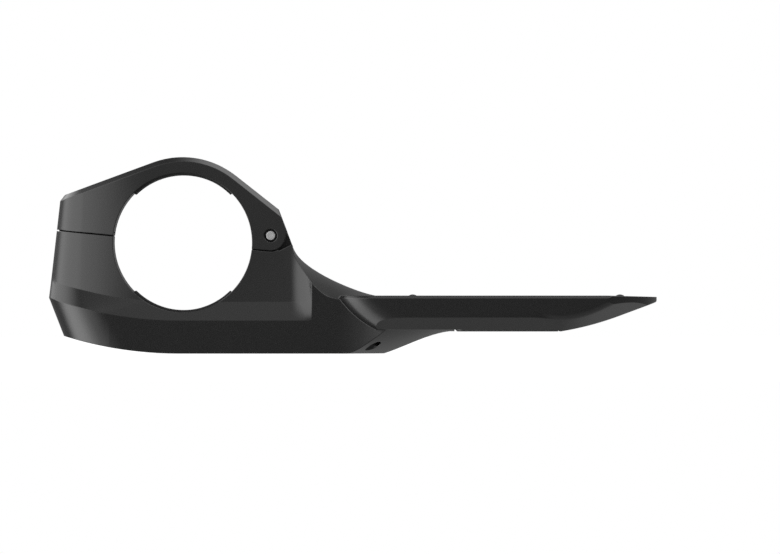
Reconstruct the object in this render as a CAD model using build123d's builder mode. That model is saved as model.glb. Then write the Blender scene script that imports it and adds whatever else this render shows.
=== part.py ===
"""Out-front mount that carries a bike computer ahead of a handlebar.

Millimetres, +Z up. The origin is the centre of the handlebar bore, halfway along its length.
+X runs forward to the platform and +Y along the handlebar. The part is symmetric about Y = 0.
"""
import os
from math import cos, radians, sin, sqrt, tan

from build123d import *

os.makedirs("parts", exist_ok=True)

# Handlebar bore and grip pads
bar_d = 31.8
bore_gap = 0.45
pad_sink = 0.75
pad_spread = 89.0
pad_length = 28.0
pad_end_gap = 0.1

# Top clamp outline
clamp_outer_r = 20.1
clamp_rear_slope = 20.2
clamp_front_slope = 38.2
clamp_edge_bevel = 1.05
shoulder_width = 2.0
clamp_draft = 6.5
rear_corner_r = 10.0
rear_sweep_r = 67.0
rear_sweep_angle = 13.0
rear_x = -31.6
split_tilt = 5.6
split_gap = 0.3
key_h = 0.8
key_side_gap = 0.25
key_rear_x = -29.1

# Hinge
pin_x = 20.74
pin_z = 1.63
pin_d = 2.4
pin_run_gap = 0.05
pin_sink = 0.35
pin_recess_d = 3.1
pin_recess_depth = 1.6
knuckle_r = 2.9
knuckle_gap = 0.3
tongue_half_w = 8.5
ear_side_gap = 0.25
flank_slope = 69.1
flank_clear = 3.88
flank_foot = 0.9
ear_relief = 4.1
ear_relief_tilt = 27.0
open_angle = 60.0
web_clear_angle = 16.5
pin_chamfer = 0.2

# Lower body
base_half_w = 20.0
base_corner_r = 11.0
base_sweep_r = 23.0
base_bottom_z = -26.1
heel_end_x = -17.2
shoulder_top_z = -14.0
shoulder_drop = 4.3
rocker_r = 91.0
rocker_x = -0.8
heel_slope = 68.7
flare_x = 25.4
flare_length = 5.0

# Neck and keel
neck_end_x = 48.5
neck_sink = 0.4
neck_foot_rise = -2.4
neck_top_rise = 12.0
keel_flare_x = 36.0
keel_flare_length = 11.5
keel_flare_y = 1.0
keel_front_x = 64.0
keel_start_x = 34.0
keel_run_out = 0.3

# Platform
platform_top_z = -12.5
platform_bottom_z = -20.45
platform_half_w = 25.0
wing_r = 24.6
wing_x = 56.9
wing_z = 1.05
wing_corner_r = 6.0
side_wall_h = 5.1
facet_share = 0.172
facet_w = platform_half_w * facet_share
facet_lead = 1.0
sole_z = -20.9
nose_r = 33.1
nose_drop = 0.3
nose_slope = 20.2
nose_start_x = 88.8
tip_bottom_z = -13.95
nose_slope_run = 8.6
nose_turn_run = 15.7
nose_turn_z = -19.38
nose_turn_share = 0.264
nose_turn_w = platform_half_w * nose_turn_share
nose_turn_rise = 2.9
nose_far_share = 0.424
nose_far_w = platform_half_w * nose_far_share
nose_far_rise = 3.9
tip_share = 0.54
tip_w = platform_half_w * tip_share
tip_rise = 3.9
deck_start_x = 52.0
top_bevel = 0.6
tip_round = 0.5
nose_blend_share = 0.072
nose_blend = platform_half_w * nose_blend_share

# Twist-lock ring in the platform
lock_x = 78.6
ring_r = 20.0
ring_h = 4.2
ring_fit_gap = 0.15
ring_flush_gap = 0.1
lip_h = 1.6
lip_r = 12.9
lock_r = 15.6
entry_w = 11.0
ring_screw_r = 17.8
ring_screw_count = 4

# Underside cover
cover_rear_x = 64.2
cover_edge_gap = 0.4
cover_t = 1.5
cover_fit_gap = 0.2
cover_seam = 0.15
cover_bevel = 0.4
cover_corner_r = 2.0
cover_screw_dx = 8.5
cover_screw_inset = 3.8

# Small thread-forming screws
screw_d = 2.0
screw_head_d = 3.8
screw_head_angle = 79.0
screw_tip_chamfer = 0.3
screw_bite = 2.2
driver_d = 1.2
driver_depth = 0.6

# Clamp bolt, washer and nut
bolt_x = -22.3
bolt_d = 4.0
bolt_thread_depth = 0.4
bolt_length = 20.0
bolt_head_d = 7.0
bolt_head_h = 4.0
bolt_head_chamfer = 0.3
bolt_hole_gap = 0.3
bolt_seat_z = -11.0
hex_key = 3.0
hex_key_depth = 2.2
washer_d = 7.4
washer_t = 0.8
counterbore_gap = 0.25
nut_across = 7.0
nut_h = 3.2
nut_seat_z = 4.8
nut_pocket_gap = 0.1

# Bumpers and keel inserts
bumper_d = 1.9
bumper_rise = 0.3
bumper_depth = 1.6
bumper_spread = 48.9
insert_x = 44.8
insert_y = 16.6
insert_d = 3.7
insert_thread_d = 2.5
insert_length = 4.0
keel_hole_z = -23.9
insert_sink = 0.9

# Sizes that follow from the ones above
clamp_half_w = base_half_w - shoulder_width
bar_r = bar_d / 2
bore_r = bar_r + bore_gap
pad_outer_r = bore_r + pad_sink
pin_r = pin_d / 2
ear_r = pin_z * cos(radians(split_tilt)) + pin_x * sin(radians(split_tilt)) - split_gap / 2
ring_floor_z = platform_top_z - ring_flush_gap - ring_h
cover_front_x = nose_start_x - cover_seam
cover_half_w = platform_half_w - facet_w - cover_edge_gap
cover_screw_dy = cover_half_w - cover_screw_inset
keel_half_w = base_half_w + keel_flare_y
cover_top_z = sole_z + cover_t
screw_head_h = (screw_head_d - screw_d) / 2 / tan(radians(screw_head_angle / 2))
crown_h = clamp_outer_r + 1 - shoulder_top_z
crease_steps = 8
pin_half_l = clamp_half_w - (pin_z - shoulder_top_z) * tan(radians(clamp_draft)) - pin_sink
bolt_hole_r = bolt_d / 2 + bolt_hole_gap
counterbore_r = washer_d / 2 + counterbore_gap
reach = 60.0
past_tip = 2.0


def split_z(x, side):
    """Height of a split face at x: side is 1 on the top clamp and -1 on the lower body."""
    return -x * tan(radians(split_tilt)) + side * split_gap / 2 / cos(radians(split_tilt))


def rocker_z(x, level):
    """Height of a rocker curve that is flat at the given level ahead of rocker_x."""
    run = min(x - rocker_x, 0)
    return level + rocker_r - sqrt(rocker_r**2 - run**2)


def flank_point(rise):
    """Point of the clamp's front flank at a height above the hinge pin."""
    lean = radians(90 - flank_slope)
    return (pin_x + (flank_clear - rise * sin(lean)) / cos(lean), pin_z + rise)


def clamp_front_corner():
    """Point where the top clamp's front slope meets its flank."""
    slope, lean = radians(clamp_front_slope), radians(90 - flank_slope)
    flank_c = pin_x * cos(lean) + pin_z * sin(lean) + flank_clear
    det = sin(slope) * sin(lean) - cos(slope) * cos(lean)
    x = (clamp_outer_r * sin(lean) - flank_c * cos(slope)) / det
    z = (flank_c * sin(slope) - clamp_outer_r * cos(lean)) / det
    return (x, z)


def facet_section(x, z, width, rise):
    """Section below a facet that climbs by a rise over its width, from height z to the side wall."""
    slope = rise / width
    foot_y = platform_half_w - width
    inner_y, outer_y = foot_y - facet_lead, platform_half_w + width
    with BuildSketch(Plane.YZ.offset(x)) as section:
        Polygon(
            (inner_y, z - facet_lead * slope),
            (outer_y, z + (outer_y - foot_y) * slope),
            (outer_y, z - reach),
            (inner_y, z - reach),
            align=None,
        )
    return section.sketch


def nose_arc_x(y):
    """Front edge of the platform, an arc about the twist-lock axis."""
    return lock_x + sqrt(nose_r**2 - y**2)


# Plan outlines: the clamp's, with its flare into the neck, and the wider base's
front_end_x = keel_front_x + 1
rear_end_x = rear_x - 4
flare_end = (flare_x + flare_length, base_half_w)


def rear_edges(rear_end, half_w, corner_r, sweep_r):
    """Half of a plan's rear, from its middle: the rear edge, the corner and a long sweep."""
    turn_angle = 90 - rear_sweep_angle
    corner_run = corner_r * sin(radians(turn_angle))
    sweep_run = sweep_r * (1 - cos(radians(rear_sweep_angle)))
    rear_edge = Line((rear_end, 0), (rear_end, half_w - corner_run - sweep_run))
    corner = JernArc(rear_edge @ 1, (0, 1), corner_r, -turn_angle)
    sweep = JernArc(corner @ 1, corner % 1, sweep_r, -rear_sweep_angle)
    return [rear_edge, corner, sweep]


def keel_edges():
    """Half of a plan's front, where the keel flares to the platform's facets."""
    flare_start = (keel_flare_x, base_half_w)
    side_start = (keel_flare_x + keel_flare_length, keel_half_w)
    side_end = (keel_front_x, keel_half_w)
    return [
        Line(flare_end, flare_start),
        TangentArc(flare_start, side_start, tangent=(1, 0)),
        Line(side_start, side_end),
        Line(side_end, (keel_front_x, 0)),
    ]


def plan_edges(level, rear_end, half_w, corner_r, sweep_r, flare):
    """Edges of half a plan at a level, in order from the middle of its rear."""
    rear = rear_edges(rear_end, half_w, corner_r, sweep_r)
    sides = [Line(rear[-1] @ 1, (rocker_x, half_w)), Line((rocker_x, half_w), (flare_x, half_w))]
    edges = [*rear, *sides, flare, *keel_edges()]
    return [edge.moved(Location((0, 0, level))) for edge in edges]


def crown_edges(rise):
    """Plan edges of the clamp's drafted walls at a height above shoulder_top_z."""
    inset = rise * tan(radians(clamp_draft))
    half_w = clamp_half_w - inset
    flare = TangentArc((flare_x, half_w), flare_end, tangent=(1, 0))
    rear_sizes = (rear_x + inset, half_w, rear_corner_r - inset, rear_sweep_r - inset)
    return plan_edges(shoulder_top_z + rise, *rear_sizes, flare)


def base_edges(level, rear_end):
    """Plan edges of the wide base at a level."""
    flare = Line((flare_x, base_half_w), flare_end)
    return plan_edges(level, rear_end, base_half_w, base_corner_r, base_sweep_r, flare)


def crease_edge(low_edge, high_edge, level):
    """Edge where a level that rises behind rocker_x cuts the wall between two plan edges."""
    points = []
    for step in range(crease_steps + 1):
        low, high = low_edge @ (step / crease_steps), high_edge @ (step / crease_steps)
        point = low
        for _ in range(crease_steps):
            share = (rocker_z(point.X, level) - low.Z) / (high.Z - low.Z)
            point = low + (high - low) * share
        points.append(point)
    if low_edge.geom_type == GeomType.LINE and abs(points[0].Z - points[-1].Z) < 0.001:
        return Line(points[0], points[-1])
    return Spline(*points)


def wall_face(low_edge, high_edge):
    """Face between two edges, flat where they share a plane."""
    flat_side = all(abs(abs(edge.center().Y) - base_half_w) < 0.001 for edge in (low_edge, high_edge))
    if flat_side or low_edge.geom_type == high_edge.geom_type == GeomType.LINE:
        ends = [Line(low_edge @ end, high_edge @ end) for end in (0, 1)]
        return Face(Wire([low_edge, ends[1], high_edge, ends[0]]))
    return Face.make_surface_from_curves(low_edge.edge(), high_edge.edge())


def upper_plan(rise):
    """Plan of the top clamp at a height above shoulder_top_z."""
    inset = rise * tan(radians(clamp_draft))
    half_w = clamp_half_w - inset
    rear_sizes = (rear_x + inset, half_w, rear_corner_r - inset, rear_sweep_r - inset)
    rear = rear_edges(*rear_sizes)
    with BuildSketch(Plane.XY.offset(shoulder_top_z + rise)) as plan:
        with BuildLine():
            add(rear)
            Polyline(rear[-1] @ 1, (front_end_x, half_w), (front_end_x, 0))
            mirror(about=Plane.XZ)
        make_face()
    return plan.sketch


# Outer form of the lower body: slanted heel, wide base, shoulder between two creases, drafted walls
crease_level = shoulder_top_z - shoulder_drop
crease_z = rocker_z(rear_x, crease_level)
base_rear_x = rear_x + (crease_z - shoulder_top_z) * tan(radians(clamp_draft))
foot_z = base_bottom_z - 1
foot_rear_x = base_rear_x + (crease_z - foot_z) / tan(radians(heel_slope))
foot_ring = base_edges(foot_z, foot_rear_x)
base_low, base_high = base_edges(foot_z, base_rear_x), base_edges(shoulder_top_z, base_rear_x)
lower_crease = [crease_edge(low, high, crease_level) for low, high in zip(base_low, base_high)]
crown_low, crown_top = crown_edges(0), crown_edges(crown_h)
upper_crease = [crease_edge(low, high, shoulder_top_z) for low, high in zip(crown_low, crown_top)]
rings = []
for half_ring in (foot_ring, lower_crease, upper_crease, crown_top):
    rings.append(half_ring + [edge.mirror(Plane.XZ) for edge in reversed(half_ring)])
walls = [wall_face(low, high) for below, above in zip(rings, rings[1:]) for low, high in zip(below, above)]
lower_form = Solid(Shell([*walls, Face(Wire(rings[0])), Face(Wire(rings[-1]))]))

# Side outline of the lower body, with the hinge tongue at its top
tongue_front = flank_point(flank_foot)
knuckle_front_x = pin_x + sqrt(knuckle_r**2 - flank_foot**2)
rear_end_z = rocker_z(rear_end_x, base_bottom_z)
rocker_mid_x = (rear_end_x + rocker_x) / 2
with BuildPart() as side_outline:
    with BuildSketch(Plane.XZ):
        with BuildLine():
            Polyline(
                (pin_x - knuckle_r, pin_z),
                (pin_x - knuckle_r, split_z(pin_x - knuckle_r, -1)),
                (rear_end_x, split_z(rear_end_x, -1)),
                (rear_end_x, rear_end_z),
            )
            ThreePointArc(
                (rear_end_x, rear_end_z),
                (rocker_mid_x, rocker_z(rocker_mid_x, base_bottom_z)),
                (rocker_x, base_bottom_z),
            )
            Polyline(
                (rocker_x, base_bottom_z),
                (keel_front_x, base_bottom_z),
                (keel_front_x, tongue_front[1]),
                tongue_front,
                (knuckle_front_x, tongue_front[1]),
            )
            ThreePointArc(
                (knuckle_front_x, tongue_front[1]),
                (pin_x, pin_z + knuckle_r),
                (pin_x - knuckle_r, pin_z),
            )
        make_face()
    extrude(amount=reach, both=True)

# Space above the crowned neck, whose saddle is high in the middle and low at its two edges
neck_foot = flank_point(neck_foot_rise)
neck_top = flank_point(neck_top_rise)
neck_mid_line = [(26.7, -2.6), (29.9, -5.7), (34.6, -8.5), (39.3, -10.6), (44.1, -12.2)]
neck_side_line = [(26.6, -4.4), (28.9, -8.2), (31.3, -10.9), (33.6, -12.8), (42.0, -13.0)]
neck_end = (neck_end_x, platform_top_z - neck_sink)
neck_sections = [(-keel_half_w, neck_side_line), (0, neck_mid_line), (keel_half_w, neck_side_line)]
with BuildPart() as neck_space:
    for side_y, line in neck_sections:
        with BuildSketch(Plane.XZ.offset(side_y)):
            with BuildLine():
                Spline(neck_foot, *line, neck_end)
                Polyline(
                    neck_end,
                    (front_end_x, neck_end[1]),
                    (front_end_x, neck_top[1]),
                    neck_top,
                    neck_foot,
                )
            make_face()
    loft()

# Space below the keel, whose sides sweep up like a bow
keel_floor_z = base_bottom_z - keel_run_out
keel_mid_line = [(40.0, keel_floor_z), (46.5, -26.3), (50.0, -25.2), (57.0, -22.4), (62.9, -20.9)]
keel_side_line = [(37.0, -26.3), (39.8, -25.7), (43.0, -23.8), (47.2, -21.0), (53.0, -14.0)]
keel_sections = [(-keel_half_w, keel_side_line), (0, keel_mid_line), (keel_half_w, keel_side_line)]
with BuildPart() as keel_space:
    for side_y, line in keel_sections:
        with BuildSketch(Plane.XZ.offset(side_y)):
            with BuildLine():
                Spline((keel_start_x, keel_floor_z), *line)
                Polyline(
                    line[-1],
                    (front_end_x, line[-1][1]),
                    (front_end_x, base_bottom_z - reach / 2),
                    (keel_start_x, base_bottom_z - reach / 2),
                    (keel_start_x, keel_floor_z),
                )
            make_face()
    loft()

# Platform: side outline, rounded wing corners, nose arc and hull facets
facet_rise = platform_top_z - side_wall_h - sole_z
tip_x = nose_arc_x(0)
nose_kink_x = nose_arc_x(platform_half_w)
tip_top_z = platform_top_z - nose_drop
nose_far = (tip_x - nose_slope_run, tip_bottom_z - nose_slope_run * tan(radians(nose_slope)))
nose_mid = (tip_x - nose_turn_run, nose_turn_z)
past_tip_x = tip_x + past_tip
past_tip_z = tip_bottom_z + past_tip * tan(radians(nose_slope))
platform_start_x = wing_x - wing_r

with BuildPart() as wing_envelope:
    with Locations((wing_x, 0, wing_z)):
        Cylinder(wing_r, 2 * platform_half_w, rotation=(90, 0, 0))
    fillet(wing_envelope.edges().filter_by(GeomType.CIRCLE), wing_corner_r)
    with Locations((wing_x, 0, 0)):
        Box(2 * reach, 2 * platform_half_w, 2 * reach, align=(Align.MIN, Align.CENTER, Align.CENTER))

with BuildSketch(Plane.XY.offset(sole_z)) as platform_plan:
    with Locations((lock_x, 0)):
        Circle(nose_r)
        Rectangle(2 * reach, 2 * reach, align=(Align.MAX, Align.CENTER))

facet_start = (nose_start_x, sole_z, facet_w, facet_rise)
nose_stations = [
    facet_start,
    (*nose_mid, nose_turn_w, nose_turn_rise),
    (*nose_far, nose_far_w, nose_far_rise),
    (past_tip_x, past_tip_z, tip_w, tip_rise),
]
with BuildPart() as facet_space:
    loft([facet_section(*station) for station in nose_stations])
    extrude(facet_section(*facet_start), amount=platform_start_x - nose_start_x)
    mirror(about=Plane.XZ)

with BuildPart() as platform:
    with BuildSketch(Plane.XZ):
        with BuildLine():
            Polyline(
                (nose_start_x, sole_z),
                (nose_start_x, platform_bottom_z),
                (platform_start_x, platform_bottom_z),
                (platform_start_x, platform_top_z),
                (nose_kink_x, platform_top_z),
                (tip_x, tip_top_z),
                (past_tip_x, tip_top_z),
                (past_tip_x, past_tip_z),
                nose_far,
            )
            ThreePointArc(nose_far, nose_mid, (nose_start_x, sole_z))
        make_face()
    extrude(amount=platform_half_w, both=True)
    add(wing_envelope.part, mode=Mode.INTERSECT)
    top_edges = platform.edges().filter_by(lambda e: e.center().Z > platform_top_z - 0.01)
    side_edges = top_edges.filter_by(lambda e: abs(e.center().Y) > wing_corner_r)
    chamfer(side_edges, top_bevel)
    extrude(platform_plan.sketch, amount=reach, dir=(0, 0, 1), mode=Mode.INTERSECT)
    add(facet_space.part, mode=Mode.SUBTRACT)
    fillet(platform.edges().filter_by(lambda e: e.center().X > tip_x - 0.1), tip_round)
    low_edges = platform.edges().filter_by(lambda e: e.center().Z < platform_top_z - top_bevel)
    bow_edges = low_edges.filter_by(lambda e: abs(e.center().Y) > platform_half_w - 0.1)
    fillet(bow_edges.filter_by(lambda e: e.center().X > nose_start_x), nose_blend)

# Grip pads, one in each half of the bore
pad_reach = 2 * pad_outer_r
pad_wedge_x = pad_reach * tan(radians(pad_spread / 2))
pads = {}
wedges = {}
for pad_name, up in (("upper_grip_pad", 1), ("lower_grip_pad", -1)):
    wedges[pad_name] = [(0, 0), (up * pad_wedge_x, up * pad_reach), (-up * pad_wedge_x, up * pad_reach)]
    with BuildPart() as pad:
        with BuildSketch(Plane.XZ):
            Polygon(*wedges[pad_name], align=None)
            Circle(pad_outer_r, mode=Mode.INTERSECT)
            Circle(bar_r, mode=Mode.SUBTRACT)
        extrude(amount=pad_length / 2, both=True)
    pads[pad_name] = pad

with BuildPart() as pad_pockets:
    with BuildSketch(Plane.XZ):
        for wedge in wedges.values():
            Polygon(*wedge, align=None)
        Circle(pad_outer_r, mode=Mode.INTERSECT)
    extrude(amount=pad_length / 2 + pad_end_gap, both=True)

# Clearance for the ears of the top clamp, on both sides of the tongue
ear_zone_w = base_half_w + 5 - tongue_half_w
with BuildPart() as ear_space:
    for side_y in (tongue_half_w, -tongue_half_w - ear_zone_w):
        with BuildSketch(Plane.XZ.offset(side_y)):
            Polygon(
                (0, split_z(0, -1)),
                (pin_x, split_z(pin_x, -1)),
                (pin_x, reach / 2),
                (0, reach / 2),
                align=None,
            )
            with Locations(Location((pin_x, pin_z, 0), ear_relief_tilt)):
                Circle(ear_r + split_gap)
                with Locations((0, -ear_relief)):
                    Rectangle(reach, reach, align=(Align.MIN, Align.MIN))
        extrude(amount=ear_zone_w)

screw_angles = [45 + 360 / ring_screw_count * turn_no for turn_no in range(ring_screw_count)]
ring_screw_spots = [
    (lock_x + ring_screw_r * cos(radians(angle)), ring_screw_r * sin(radians(angle)))
    for angle in screw_angles
]
cover_mid_x = (cover_rear_x + cover_front_x) / 2
cover_screw_spots = [
    (cover_mid_x + sx * cover_screw_dx, sy * cover_screw_dy) for sx in (-1, 1) for sy in (-1, 1)
]
bumper_spots = [lock_x - bumper_spread / 2, lock_x + bumper_spread / 2]
insert_face_z = keel_hole_z + insert_sink

# Key along the split, which stands in a recess of the top clamp
key_front_x = pin_x - knuckle_r
with BuildPart() as split_key:
    with BuildSketch(Plane.XZ):
        Polygon(
            (key_rear_x, split_z(key_rear_x, -1) - key_h),
            (key_front_x, split_z(key_front_x, -1) - key_h),
            (key_front_x, split_z(key_front_x, -1) + key_h),
            (key_rear_x, split_z(key_rear_x, -1) + key_h),
            align=None,
        )
    extrude(amount=tongue_half_w, both=True)

with BuildPart() as moulding:
    add(lower_form)
    add(side_outline.part, mode=Mode.INTERSECT)
    add(split_key.part)
    add(neck_space.part, mode=Mode.SUBTRACT)
    add(keel_space.part, mode=Mode.SUBTRACT)
    add(platform.part)
    with BuildSketch(Plane.XZ):
        Circle(bore_r)
    extrude(amount=reach, both=True, mode=Mode.SUBTRACT)
    add(pad_pockets.part, mode=Mode.SUBTRACT)
    add(ear_space.part, mode=Mode.SUBTRACT)
    with Locations((pin_x, 0, pin_z)):
        Cylinder(pin_r + pin_run_gap, 2 * reach, rotation=(90, 0, 0), mode=Mode.SUBTRACT)
    with Locations((bolt_x, 0, 0)):
        Cylinder(bolt_hole_r, 2 * reach, mode=Mode.SUBTRACT)
    with Locations((bolt_x, 0, bolt_seat_z)):
        Cylinder(
            counterbore_r, reach, align=(Align.CENTER, Align.CENTER, Align.MAX), mode=Mode.SUBTRACT
        )
    with Locations((lock_x, 0, ring_floor_z)):
        Cylinder(
            ring_r + ring_fit_gap, reach, align=(Align.CENTER, Align.CENTER, Align.MIN), mode=Mode.SUBTRACT
        )
    with BuildSketch(Plane.XY.offset(cover_top_z)):
        with Locations((nose_start_x, 0)):
            Rectangle(
                nose_start_x - cover_rear_x + cover_fit_gap,
                2 * (cover_half_w + cover_fit_gap),
                align=(Align.MAX, Align.CENTER),
            )
    extrude(amount=-reach, mode=Mode.SUBTRACT)
    with Locations(*[(x, y, ring_floor_z) for x, y in ring_screw_spots]):
        Cylinder(screw_d / 2, 2 * screw_bite, mode=Mode.SUBTRACT)
    with Locations(*[(x, y, cover_top_z) for x, y in cover_screw_spots]):
        Cylinder(screw_d / 2, 2 * screw_bite, mode=Mode.SUBTRACT)
    with Locations(*[(x, 0, platform_top_z) for x in bumper_spots]):
        Cylinder(bumper_d / 2, 2 * bumper_depth, mode=Mode.SUBTRACT)
    with Locations(*[(insert_x, side * insert_y, insert_face_z) for side in (-1, 1)]):
        Cylinder(
            insert_d / 2, insert_length, align=(Align.CENTER, Align.CENTER, Align.MIN), mode=Mode.SUBTRACT
        )
        Cylinder(
            insert_d / 2, reach, align=(Align.CENTER, Align.CENTER, Align.MAX), mode=Mode.SUBTRACT
        )

# The moulding in three pieces that meet at planes across: the heel, the arm and the platform deck
heel_plane = Plane.YZ.offset(heel_end_x)
deck_plane = Plane.YZ.offset(deck_start_x)
with BuildPart() as clamp_heel:
    add(moulding.part)
    split(bisect_by=heel_plane, keep=Keep.BOTTOM)

with BuildPart() as mount_body:
    add(moulding.part)
    split(bisect_by=heel_plane, keep=Keep.TOP)
    split(bisect_by=deck_plane, keep=Keep.BOTTOM)

with BuildPart() as platform_deck:
    add(moulding.part)
    split(bisect_by=deck_plane, keep=Keep.TOP)

# Top clamp: outline, bevelled edges, hinge slot, nut pocket
front_corner = clamp_front_corner()
rear_angle = radians(clamp_rear_slope)
front_angle = radians(clamp_front_slope)
rear_tangent = (-clamp_outer_r * sin(rear_angle), clamp_outer_r * cos(rear_angle))
front_tangent = (clamp_outer_r * sin(front_angle), clamp_outer_r * cos(front_angle))
rear_drop = (rear_tangent[0] - rear_end_x) * tan(rear_angle)
foot_angle = radians(split_tilt)
ear_foot = (pin_x - ear_r * sin(foot_angle), pin_z - ear_r * cos(foot_angle))
web_angle = radians(open_angle + web_clear_angle)
slot_r = knuckle_r + knuckle_gap
with BuildPart() as top_clamp:
    with BuildSketch(Plane.XZ):
        with BuildLine():
            Polyline(
                ear_foot,
                (rear_end_x, split_z(rear_end_x, 1)),
                (rear_end_x, rear_tangent[1] - rear_drop),
                rear_tangent,
            )
            ThreePointArc(rear_tangent, (0, clamp_outer_r), front_tangent)
            Polyline(
                front_tangent,
                front_corner,
                flank_point(flank_foot),
                (pin_x + ear_r, pin_z),
            )
            ThreePointArc(
                (pin_x + ear_r, pin_z),
                (pin_x + ear_r * sin(radians(45)), pin_z - ear_r * cos(radians(45))),
                ear_foot,
            )
        make_face()
    extrude(amount=reach, both=True)
    loft([upper_plan(0), upper_plan(crown_h)], ruled=True, mode=Mode.INTERSECT)
    crown = top_clamp.faces().filter_by(lambda face: face.normal_at().Z > 0.5)
    crown_rim = crown.edges().filter_by(lambda e: abs(e.center().Y) > 1 or e.center().X < bolt_x)
    chamfer(crown_rim, clamp_edge_bevel)
    with BuildSketch(Plane.XZ):
        Circle(bore_r)
    extrude(amount=reach, both=True, mode=Mode.SUBTRACT)
    add(pad_pockets.part, mode=Mode.SUBTRACT)
    with BuildSketch(Plane.XZ):
        Polygon(
            (pin_x, pin_z),
            (pin_x - slot_r, pin_z),
            (pin_x - slot_r, pin_z - reach),
            (pin_x + reach, pin_z - reach),
            (pin_x + reach * cos(web_angle), pin_z + reach * sin(web_angle)),
            align=None,
        )
        with Locations((pin_x, pin_z)):
            Circle(slot_r)
    extrude(amount=tongue_half_w + ear_side_gap, both=True, mode=Mode.SUBTRACT)
    recess_rear_x = key_rear_x - key_side_gap
    with BuildSketch(Plane.XZ):
        Polygon(
            (recess_rear_x, split_z(recess_rear_x, -1)),
            (key_front_x, split_z(key_front_x, -1)),
            (key_front_x, split_z(key_front_x, 1) + key_h),
            (recess_rear_x, split_z(recess_rear_x, 1) + key_h),
            align=None,
        )
    extrude(amount=tongue_half_w + key_side_gap, both=True, mode=Mode.SUBTRACT)
    with Locations((pin_x, 0, pin_z)):
        Cylinder(pin_r, 2 * reach, rotation=(90, 0, 0), mode=Mode.SUBTRACT)
    for side in (-1, 1):
        with Locations((pin_x, side * (pin_half_l + pin_sink - pin_recess_depth), pin_z)):
            Cylinder(
                pin_recess_d / 2,
                reach,
                rotation=(-90 * side, 0, 0),
                align=(Align.CENTER, Align.CENTER, Align.MIN),
                mode=Mode.SUBTRACT,
            )
    with Locations((bolt_x, 0, 0)):
        Cylinder(bolt_hole_r, 2 * reach, mode=Mode.SUBTRACT)
    with BuildSketch(Plane.XY.offset(nut_seat_z)):
        with Locations((bolt_x, 0)):
            RegularPolygon(nut_across / 2 + nut_pocket_gap, 6, major_radius=False)
    extrude(amount=reach, mode=Mode.SUBTRACT)

with BuildPart() as hinge_pin:
    with Locations((pin_x, 0, pin_z)):
        Cylinder(pin_r, 2 * pin_half_l, rotation=(90, 0, 0))
    chamfer(hinge_pin.edges().filter_by(GeomType.CIRCLE), pin_chamfer)

# Clamp bolt with its washer and nut
stacked_up = (Align.CENTER, Align.CENTER, Align.MIN)
hung_down = (Align.CENTER, Align.CENTER, Align.MAX)
head_top_z = bolt_seat_z - washer_t
with BuildPart() as clamp_bolt:
    with Locations((bolt_x, 0, head_top_z)):
        Cylinder(bolt_d / 2 - bolt_thread_depth, bolt_length, align=stacked_up)
        Cylinder(bolt_head_d / 2, bolt_head_h, align=hung_down)
    head_rim = clamp_bolt.edges().group_by(Axis.Z)[0]
    chamfer(head_rim, bolt_head_chamfer)
    with BuildSketch(Plane.XY.offset(head_top_z - bolt_head_h)):
        with Locations((bolt_x, 0)):
            RegularPolygon(hex_key / 2, 6, major_radius=False)
    extrude(amount=hex_key_depth, mode=Mode.SUBTRACT)

with BuildPart() as bolt_washer:
    with Locations((bolt_x, 0, head_top_z)):
        Cylinder(washer_d / 2, washer_t, align=stacked_up)
        Cylinder(bolt_d / 2, washer_t, align=stacked_up, mode=Mode.SUBTRACT)

with BuildPart() as clamp_nut:
    with BuildSketch(Plane.XY.offset(nut_seat_z)):
        with Locations((bolt_x, 0)):
            RegularPolygon(nut_across / 2, 6, major_radius=False)
            Circle(bolt_d / 2, mode=Mode.SUBTRACT)
    extrude(amount=nut_h)

# Twist-lock ring: a lip with two entry notches over a round undercut
ring_top_z = ring_floor_z + ring_h
with BuildPart() as twist_lock_ring:
    with Locations((lock_x, 0, ring_floor_z)):
        Cylinder(ring_r, ring_h, align=stacked_up)
        Cylinder(lock_r, ring_h - lip_h, align=stacked_up, mode=Mode.SUBTRACT)
    with BuildSketch(Plane.XY.offset(ring_floor_z)):
        with Locations((lock_x, 0)):
            Rectangle(entry_w, 2 * lock_r)
            Circle(lock_r, mode=Mode.INTERSECT)
            Circle(lip_r)
    extrude(amount=ring_h, mode=Mode.SUBTRACT)
    with Locations(*[(x, y, ring_top_z) for x, y in ring_screw_spots]):
        CounterSinkHole(screw_d / 2, screw_head_d / 2, counter_sink_angle=screw_head_angle)


def flat_screw(length):
    """Countersunk screw, its head's face at z = 0 and its shank pointing down."""
    with BuildPart() as screw:
        with BuildSketch(Plane.XZ):
            Polygon(
                (0, 0),
                (screw_head_d / 2, 0),
                (screw_d / 2, -screw_head_h),
                (screw_d / 2, screw_tip_chamfer - length),
                (screw_d / 2 - screw_tip_chamfer, -length),
                (0, -length),
                align=None,
            )
        revolve(axis=Axis.Z)
        with BuildSketch():
            RegularPolygon(driver_d / 2, 6)
        extrude(amount=-driver_depth, mode=Mode.SUBTRACT)
    return screw.part


ring_screw_l = ring_h + screw_bite
with BuildPart() as ring_screws:
    with Locations(*[(x, y, ring_top_z) for x, y in ring_screw_spots]):
        add(flat_screw(ring_screw_l))

cover_screw_l = cover_t + screw_bite
with BuildPart() as cover_screws:
    with Locations(*[Location((x, y, sole_z), (180, 0, 0)) for x, y in cover_screw_spots]):
        add(flat_screw(cover_screw_l))

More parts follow.
